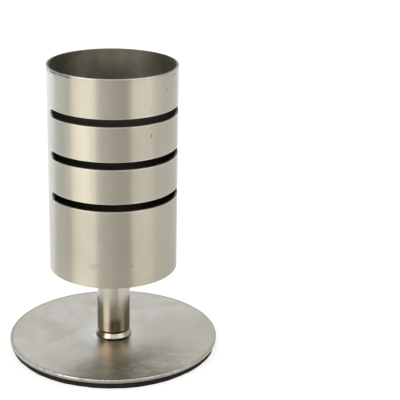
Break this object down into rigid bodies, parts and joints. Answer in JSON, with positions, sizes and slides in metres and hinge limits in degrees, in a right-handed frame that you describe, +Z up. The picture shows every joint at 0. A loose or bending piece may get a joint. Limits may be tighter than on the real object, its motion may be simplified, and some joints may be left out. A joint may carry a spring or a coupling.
{
  "type": "toothpick holder",
  "caption": "Round steel toothpick cup with horizontal slots round its front, on a short stem with a small sloping collar and a thin round foot with a soft anti-slip pad.",
  "frame": {"origin": "middle of the pad's underside, on the table, under the stem's axis", "axes": "+Z up along the stem and cup, -Y the slotted front, +X to the right of the front"},
  "size_m": [0.053, 0.053, 0.0738],
  "materials": {
    "cup_steel": "satin, fine brushing",
    "floor_steel": "satin",
    "stem_steel": "polished",
    "collar_steel": "polished",
    "foot_steel": "satin, slightly cloudy",
    "screw_steel": "bright zinc",
    "pad_rubber": "matte black"
  },
  "bodies": {
    "root": {"cup_tube": "cup_steel", "cup_floor": "floor_steel", "cup_screw": "screw_steel", "stem": "stem_steel", "foot_collar": "collar_steel", "base_plate": "foot_steel", "base_screw": "screw_steel", "base_pad": "pad_rubber"}
  },
  "joints": []
}
